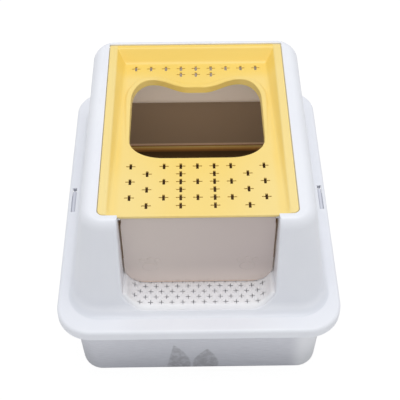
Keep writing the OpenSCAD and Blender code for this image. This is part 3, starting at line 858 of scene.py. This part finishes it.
def lid_height(p):
    """Floor, side and back slopes joined with soft edges, capped by the rim,
    plus the bead. With d from 0 at the hole's wall to 1, the bead is at first
    sqrt(1 - 0.7 (1 - d / BEAD_RISE)^2), then level, then half a cosine wave."""
    x, y = p[:, 0], p[:, 1]
    side = TOP_Z - (LID_W / 2 - LID_RIM - np.abs(x)) * LID_SLOPE_H / LID_SLOPE
    back = TOP_Z - (LID_Y + LID_D / 2 - LID_RIM_BACK - y) * LID_SLOPE_H / LID_SLOPE_BACK
    z = soft_max(lid_floor_z(y), soft_max(side, back, 2.0), 4.0)
    z = soft_min(z, np.full_like(z, TOP_Z), 2.4)
    s = swell(y)
    d = np.clip((from_edge(p) - WALL_W) / (BEAD_NARROW + (BEAD_WIDE - BEAD_NARROW) * s), 0, 1)
    rise = np.sqrt(np.clip(1 - ((BEAD_RISE - d) / BEAD_RISE) ** 2 * 0.7, 0, 1))
    fall = 0.5 + 0.5 * np.cos(np.pi * np.clip((d - BEAD_CREST) / BEAD_FALL, 0, 1))
    return z + BEAD_H * s * np.where(d < BEAD_RISE, rise, fall)


# %% The lid's grid
# Distances of the grid's rows from the hole's edge and from the lid's edge.
NEAR_HOLE = (0, 0.3, 0.7, WALL_W, 2, 3.2, 4.6, 6, 7, 8, 9, 10, 11.2, 12.5, 14, 15.5)
NEAR_RIM = (22, 20.5, 19, 17.5, 16.5, 15.5, 14.7, 14, 13.3, 12.6, 12, 11.3, 10.6, 10, 9.4, 8.8, 8.2, 7.4,
            6.2, 4, 2, 0.9)


def lid_outer(inset):
    """Ring of the lid's outline. The back edge stops at the hinge barrel."""
    p = ring(LID_W / 2 - inset, LID_D / 2 - inset, max(LID_R - inset, 1.2), 0, LID_Y, corner=10, side=34,
             rear=max(LID_BACK_R - inset, 0.8))[0, :, :2]
    p[:, 1] = np.minimum(p[:, 1], HINGE_Y + 0.1 - 0.02 * inset)
    return p


def lid_grid():
    """Rays from a point in the hole to the lid's outline. Each ray starts where
    it meets the hole's edge, found between the outline's points by angle."""
    centre = np.array([0.0, 15.0])
    ray = lid_outer(0) - centre
    unit = ray / np.hypot(ray[:, 0], ray[:, 1])[:, None]
    hole = HOLE - centre
    angle = np.arctan2(hole[:, 1], hole[:, 0])
    order = np.argsort(angle)
    turn = np.concatenate([angle[order] + full for full in (-2 * np.pi, 0, 2 * np.pi)])
    reach = np.tile(np.hypot(hole[order, 0], hole[order, 1]), 3)
    near = centre + unit * np.interp(np.arctan2(ray[:, 1], ray[:, 0]), turn, reach)[:, None]
    inner = [near + unit * o for o in NEAR_HOLE]
    outer = [lid_outer(o) for o in NEAR_RIM]
    between = [inner[-1] + (outer[0] - inner[-1]) * k for k in np.linspace(0, 1, 26)[1:-1]]
    return np.array(inner + between + outer)


plan = lid_grid()
print("lid grid:", plan.shape)

# %% [markdown]
# The underside follows the top at the sheet's thickness. At the hole the rows
# turn down into the inner wall, and at the rim they roll over the edge.

# %% The lid's solid
CREST, WALL_BACK = NEAR_HOLE.index(WALL_W), 5
RIM_H, RIM_T = 7.4, 2.2
HOLE_WALL_H, HOLE_WALL_MORE = 2.2, 4.3


def upward(rows):
    """Unit normals of a grid, turned to point up."""
    across = (np.roll(rows, -1, 1) - np.roll(rows, 1, 1)) / 2
    normal = np.cross(np.gradient(rows, axis=0), across)
    length = np.maximum(np.linalg.norm(normal, axis=-1, keepdims=True), 1e-9)
    return normal * np.where(normal[..., 2:] < 0, -1, 1) / length


def lid_solid():
    """One closed loop of rows: up the hole's wall, over the top, down the rim,
    back along the underside, and down to the wall's foot."""
    n, m = plan.shape[:2]
    z = lid_height(plan.reshape(-1, 2)).reshape(n, m)
    top = np.dstack([plan, z])
    under = top - upward(top) * LID_T
    under[WALL_BACK, :, :2] = plan[WALL_BACK]

    edge, crest, crest_z = plan[0], plan[CREST], z[CREST]
    s = swell(edge[:, 1])
    foot = crest_z - BEAD_H * s - HOLE_WALL_H - HOLE_WALL_MORE * s
    wall_z = crest_z - 0.4
    wall_rows = [np.column_stack([crest + (edge - crest) * k, wall_z - (wall_z - foot) * k])
                 for k in (1.0, 0.7, 0.35, 0.0)]

    rim_z = lid_height(lid_outer(NEAR_RIM[-1]))
    rim_foot = np.where(rim_z > TOP_Z - 0.5, TOP_Z - RIM_H, rim_z - LID_T - 0.3)
    rim_foot = np.where(lid_outer(0)[:, 1] > HINGE_Y - 3, rim_z - LID_T, rim_foot)
    rim = ((0.35, rim_z - 0.25), (0, rim_z - 0.9), (0, rim_foot), (RIM_T, rim_foot), (RIM_T, rim_z - LID_T))
    rim_rows = [np.column_stack([lid_outer(o), height]) for o, height in rim]

    wall_foot = np.column_stack([plan[WALL_BACK], foot])
    rows = [*wall_rows, *top[CREST:], *rim_rows, *under[WALL_BACK:-1][::-1], wall_foot]
    return tube("entry_lid_sheet", rows, closed_rows=True)


lid = lid_solid()
lid.data.flip_normals()
print("lid faces:", len(lid.data.polygons))

# %% [markdown]
# The litter holes are plus signs, cut in one go with a set of prisms. In front
# of the entry hole rows of seven and of four alternate, and two rows lie behind
# it.

# %% The litter holes
LID_PITCH, LID_ROW, FIRST_ROW_Y = 25.2, 16.55, -87
BACK_ROWS = ((152.4, range(-4, 5)), (136.0, (-1, 0, 1)))


def plus_prisms(name, places, arms, bars, low, high):
    """One plus-shaped prism per place, from `low` to `high` about its height:
    twelve corners below and twelve above. `arms` are the lengths of the bar
    along X and the bar along Y, and `bars` their widths."""
    (a, b), (v, w) = np.array([arms, bars]) / 2
    shape = np.array([(a, -v), (a, v), (w, v), (w, b), (-w, b), (-w, v),
                      (-a, v), (-a, -v), (-w, -v), (-w, -b), (w, -b), (w, -v)])
    p = np.asarray(places, float)
    corners = p[:, None, :2] + shape[None]
    x, y = corners[..., 0], corners[..., 1]
    points = np.concatenate([at_depth(x, y, p[:, 2:] + end) for end in (low, high)], axis=1)
    j, first = np.arange(12), np.arange(len(p))[:, None] * 24
    side = np.stack([j, (j + 1) % 12, (j + 1) % 12 + 12, j + 12], -1)
    faces = (side[None] + first[..., None]).reshape(-1, 4)
    return new_mesh(name, points, faces, [*(first + 12 + j), *(first + j[::-1])])


wide, narrow = (-4, -2, -1, 0, 1, 2, 4), (-3, -1, 1, 3)
places = [(c * LID_PITCH, FIRST_ROW_Y - LID_ROW * i) for i in range(6) for c in (narrow if i % 2 else wide)]
places += [(c * LID_PITCH, y) for y, columns in BACK_ROWS for c in columns]
places = [(x, y, lid_floor_z(y)) for x, y in places]
cut(lid, plus_prisms("lid_holes", places, arms=(14.2, 12.0), bars=(2.0, 4.0), low=-6, high=4))
print("litter holes in the lid:", len(places))


# %% The lip and the hinge barrel
def barrel():
    """Circle of radius BARREL_R along X, clipped by the lid's round rear corners."""
    ends = np.linspace(LID_W / 2 - 5, LID_W / 2 - 0.2, 12)
    x = np.concatenate([-ends[::-1], np.linspace(-130, 130, 9), ends])
    t = np.linspace(0, 2 * np.pi, 40, endpoint=False)
    over = np.maximum(np.abs(x) - (LID_W / 2 - LID_BACK_R), 0)
    limit = LID_Y + LID_D / 2 - LID_BACK_R + np.sqrt(np.maximum(LID_BACK_R**2 - over**2, 0)) - 0.1
    y = np.minimum(HINGE_Y + BARREL_R * np.cos(t)[None, :], limit[:, None])
    return tube("barrel", at_depth(x[:, None], y, HINGE_Z + BARREL_R * np.sin(t)[None, :]))


lip = block("lid_lip", (-114.5, -190.5, TOP_Z - 10), (114.5, -188.3, TOP_Z - 6), soft=0.8)
lid = merge(lid, lip, barrel())
lid.name = "entry_lid_body"
finish_piece(lid, LID_YELLOW, "lid", ["entry_lid"], angle=40)

# %% [markdown]
# ## The flap
#
# A flat sheet of tinted plastic with round lower corners, hung from a barrel
# along its top. Two raised paw prints sit low in its corners. A box with its
# edges bevelled would need its corners cut. The same U as the alcove's, carried
# through the sheet's thickness, gives corners and rounded edges at once.

# %% The flap
def flap_outline(o):
    """A U of the flap's own size, made o smaller. From 8 to 16 mm under the
    barrel's middle it widens by 1.2 percent, which narrows the gap beside it."""
    x, z = u_line(-o, top=FLAP_Z, floor=FLAP_FOOT_Z, r=ALCOVE_R - 2, hx=FLAP_HX, corner=18, side=30)
    return x * (1 + 0.012 * np.clip((FLAP_Z - 8 - z) / 8, 0, 1)), z


def flap():
    """Sheet with edges rounded by r: inset r (1 - sin a) at r (1 - cos a) from
    each face, and a flat margin before each cap."""
    r, margin = 0.9, 2.4
    a = np.radians(np.linspace(0, 90, 5))
    inset, deep = r * (1 - np.sin(a)), r * (1 - np.cos(a))
    insets = [margin, *inset, *inset[::-1], margin]
    depths = [0, *deep, *(FLAP_T - deep[::-1]), FLAP_T]
    rows = [at_depth(x, FLAP_Y - FLAP_T + d, z) for d, (x, z) in zip(depths, map(flap_outline, insets))]
    sheet = tube("flap_sheet", rows, flip=True)
    return merge(sheet, rod("flap_barrel", -FLAP_HX, FLAP_HX, FLAP_Y, FLAP_Z, FLAP_BARREL_R))


# %% The paw prints
# Place across and up, half width, half height, and turn in degrees.
PAD = (0, 0, 12, 9, 0)
TOES = [(12 * t, 18 - abs(t) * 3.5, 4, 5, -18 * t) for t in (-1, 0, 1)]


def paw(cx, cz):
    """A pad and three toes: flat domes over ellipses. The rings run from just
    inside the sheet to the dome's top, 0.6 mm in front of it."""
    size = np.array([1.0, 1.0, 0.97, 0.9, 0.75, 0.5, 0.2])[:, None]
    raised = np.array([-0.5, 0.15, 0.4, 0.52, 0.58, 0.6, 0.6])[:, None]
    t = np.linspace(0, 2 * np.pi, 32, endpoint=False)[None, :]
    domes = []
    for dx, dz, rx, rz, turn in [PAD, *TOES]:
        c, s = math.cos(math.radians(turn)), math.sin(math.radians(turn))
        u, v = size * rx * np.cos(t), size * rz * np.sin(t)
        rows = at_depth(cx + dx + u * c - v * s, FLAP_Y - FLAP_T - raised, cz + dz + u * s + v * c)
        domes.append(tube("paw_dome", rows))
    return domes


paw_x, paw_z = ALCOVE_HX - 42, ALCOVE_Z + 46.5
flap_body = merge(flap(), *paw(-paw_x, paw_z), *paw(paw_x, paw_z))
flap_body.name = "flap_door_body"
finish_piece(flap_body, FLAP_SMOKE, "flap", ["flap_door"], angle=40)

# %% [markdown]
# ## The step
#
# A thin plate that lines the alcove's floor and curls up its corners, with
# rows of small plus-shaped holes. Its front and back edges turn down to the
# floor, its side edges roll out to the alcove's walls, and where the hood's
# front leans back the front edge of the curled sides follows it. As a section
# carried from front to back, all of that is one formula.

# %% The step
STEP_CURL_UP = 6.0
EDGE_GAP, FLOOR_GAP = 0.06, 0.25


def step_line(o, edge_start, edge_w):
    """Points x and z of the plate at distance o inside the alcove's U, without
    the upper STEP_CURL_UP mm of its corners. With s the distance from the side
    edge, 0 at edge_start and 1 edge_w further, the distance from the wall is
    o sqrt(1 - (1 - s)^2), and never less than EDGE_GAP."""
    first = math.asin(STEP_CURL_UP / ALCOVE_R)
    t = np.concatenate([np.linspace(first, first + 0.18, 12)[:-1], np.linspace(first + 0.18, np.pi / 2, 22)])
    s = np.clip(((t - first) * ALCOVE_R - edge_start) / edge_w, 0, 1)
    r = ALCOVE_R - (EDGE_GAP + (o - EDGE_GAP) * np.sqrt(1 - (1 - s) ** 2))
    bend_x = -(ALCOVE_HX - ALCOVE_R)
    x = np.concatenate([bend_x - r * np.cos(t), np.linspace(bend_x, 0, 22)[1:]])
    z = np.concatenate([ALCOVE_Z + ALCOVE_R - r * np.sin(t), np.full(21, ALCOVE_Z + o)])
    return mirrored(x, z)


def step_path(r):
    """Depths and offsets from front to back for the skin at height r: a quarter
    ellipse up from the floor, a level stretch and a quarter ellipse down."""
    turns = np.radians(np.linspace(0, 90, 9))
    out, up = r * np.cos(turns), FLOOR_GAP + (r - FLOOR_GAP) * np.sin(turns)
    front, back = STEP_FRONT + STEP_H, STEP_BACK - STEP_H
    y = np.concatenate([front - out, np.linspace(front, back, 20)[1:-1], back + out[::-1]])
    return list(zip(y, np.concatenate([up, np.full(18, r), up[::-1]])))


def step():
    """The top skin from front to back, then the lower skin back again."""
    lower_h = STEP_H - STEP_T
    skins = [(y, o, 0.0, STEP_H) for y, o in step_path(STEP_H)]
    skins += [(y, o, STEP_T, lower_h) for y, o in step_path(lower_h)[::-1]]
    rows = []
    for y, o, edge_start, edge_w in skins:
        x, z = step_line(o, edge_start, edge_w)
        lean_back = soft_max(np.zeros_like(z), front_y(z) + 3.9 - STEP_FRONT, 3.0)
        rows.append(at_depth(x, y + lean_back * np.clip(1 - (y - STEP_FRONT) / 40, 0, 1), z))
    return strip("filter_step_plate", rows, flip=True)


# %% The step's holes
STEP_PITCH, STEP_ROW, STEP_MARGIN = 16.55, 10.2, 13.0

step_body = step()
spots = []
for row in range(7):
    x = (np.arange(-6, 7) + (0.0 if row % 2 else 0.5)) * STEP_PITCH
    x = x[np.abs(x) < 6.2 * STEP_PITCH]
    spots += [(xi, STEP_FRONT + STEP_MARGIN + STEP_ROW * row, ALCOVE_Z) for xi in x]
cut(step_body, plus_prisms("step_holes", spots, arms=(7.8, 7.8), bars=(1.1, 1.1), low=-1, high=19))
step_body.name = "filter_step_body"
finish_piece(step_body, STEP_WHITE, "box", ["filter_step"], angle=40)
print("holes in the step:", len(spots))

# %% [markdown]
# ## Pins and latches
#
# The frame's own solids already have the right shape here, so they only get
# their finish.

# %% Pins and latches
PINS = ("lid_hinge_pin_left", "lid_hinge_pin_right", "flap_hinge_rod", "latch_pin_left", "latch_pin_right")
LATCHES = ("side_latch_left", "side_latch_right")
for names, material in ((PINS, PIN_STEEL), (LATCHES, LATCH_GREY)):
    for name in names:
        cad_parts[name].data.materials.clear()
        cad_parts[name].data.materials.append(material)
print("pins and latches:", len(PINS) + len(LATCHES))

# %% [markdown]
# ## Stage, light and camera
#
# A bright even sky with one large soft lamp above gives the gentle shading of
# a product photograph. Two small warm lamps, one inside the box and one under
# the lid's back, light the inner sides. Neither is seen itself, nor in a
# reflection. The camera looks down steeply, with a long lens.

# %% Floor
def floor(half=6000):
    """A wide plane. Seen by the camera it is nearly white, as the photo's
    cut-out background is, and to the light it is a matt pale floor."""
    corners = [(-half, -half, 0), (half, -half, 0), (half, half, 0), (-half, half, 0)]
    obj = new_mesh("floor", corners, [(0, 1, 2, 3)])
    f = Finish("pale_floor")
    seen = f.add("ShaderNodeLightPath", output="Is Camera Ray")
    matt = f.add("ShaderNodeBsdfDiffuse", {"Color": (0.9, 0.9, 0.9, 1)})
    glow = f.add("ShaderNodeEmission", {"Color": (1, 1, 1, 1), "Strength": 1.06})
    mix = f.add("ShaderNodeMixShader", {0: seen * 0.9, 1: matt, 2: glow})
    f.add("ShaderNodeOutputMaterial", {"Surface": mix})
    obj.data.materials.append(f.material)


floor()


# %% Light
def sky(strength):
    """An even, slightly blue sky for the light, and plain white for the camera."""
    world = bpy.data.worlds.new("studio")
    bpy.context.scene.world = world
    world.use_nodes = True
    nodes, links = world.node_tree.nodes, world.node_tree.links
    nodes.clear()
    mix = nodes.new("ShaderNodeMixShader")
    links.new(nodes.new("ShaderNodeLightPath").outputs["Is Camera Ray"], mix.inputs[0])
    for place, colour, power in ((1, (0.98, 0.99, 1.0, 1), strength), (2, (1, 1, 1, 1), 1.0)):
        background = nodes.new("ShaderNodeBackground")
        background.inputs["Color"].default_value = colour
        background.inputs["Strength"].default_value = power
        links.new(background.outputs[0], mix.inputs[place])
    links.new(mix.outputs[0], nodes.new("ShaderNodeOutputWorld").inputs[0])


def lamp(name, place, aim, size, power, colour=(1, 1, 1)):
    """A disc of light at a place, aimed at another, in metres and watts."""
    data = bpy.data.lights.new(name, "AREA")
    data.shape, data.size, data.energy, data.color = "DISK", size, power, colour
    obj = bpy.data.objects.new(name, data)
    bpy.context.scene.collection.objects.link(obj)
    obj.location = place
    obj.rotation_euler = (Vector(aim) - Vector(place)).to_track_quat("-Z", "Y").to_euler()
    return obj


sky(0.62)
key = lamp("key", (0.1, -0.1, 2.7), (0, 0, 0.2), 1.6, 26)
inside = lamp("inside", (0, -0.06, 0.2), (0, 0.05, 0.0), 0.12, 0.5, (1.0, 0.78, 0.56))
glow = lamp("glow", (0, 0.0, 0.25), (0, 0.12, 0.32), 0.12, 0.04, (1.0, 0.92, 0.8))
for light in (inside, glow):
    light.visible_camera = light.visible_glossy = False
print("lamps:", [light.name for light in (key, inside, glow)])


# %% Camera
EYE = (-0.00706, -1.06584, 1.33295)
PITCH, YAW, ROLL = 0.8378, 0.0110, -0.0037
PHOTO_PX, FOCAL_PX, SENSOR_MM = 400, 928.9, 36.0


def camera():
    """Looks along (sin yaw cos pitch, cos yaw cos pitch, -sin pitch), turned by
    roll. The lens is the focal length in pixels times sensor width over photo width."""
    look = Vector((math.sin(YAW) * math.cos(PITCH), math.cos(YAW) * math.cos(PITCH), -math.sin(PITCH)))
    level = Vector((math.cos(YAW), -math.sin(YAW), 0))
    steep = level.cross(look)
    right = level * math.cos(ROLL) + steep * math.sin(ROLL)
    up = steep * math.cos(ROLL) - level * math.sin(ROLL)
    data = bpy.data.cameras.new("camera")
    data.sensor_width, data.lens = SENSOR_MM, SENSOR_MM * FOCAL_PX / PHOTO_PX
    data.clip_start, data.clip_end = 0.05, 50
    cam = bpy.data.objects.new("camera", data)
    bpy.context.scene.collection.objects.link(cam)
    cam.matrix_world = Matrix.Translation(EYE) @ Matrix((right, up, -look)).transposed().to_4x4()
    bpy.context.scene.camera = cam


camera()
print("lens in mm:", round(bpy.context.scene.camera.data.lens, 1))
bpy.context.scene.view_settings.view_transform = "Standard"
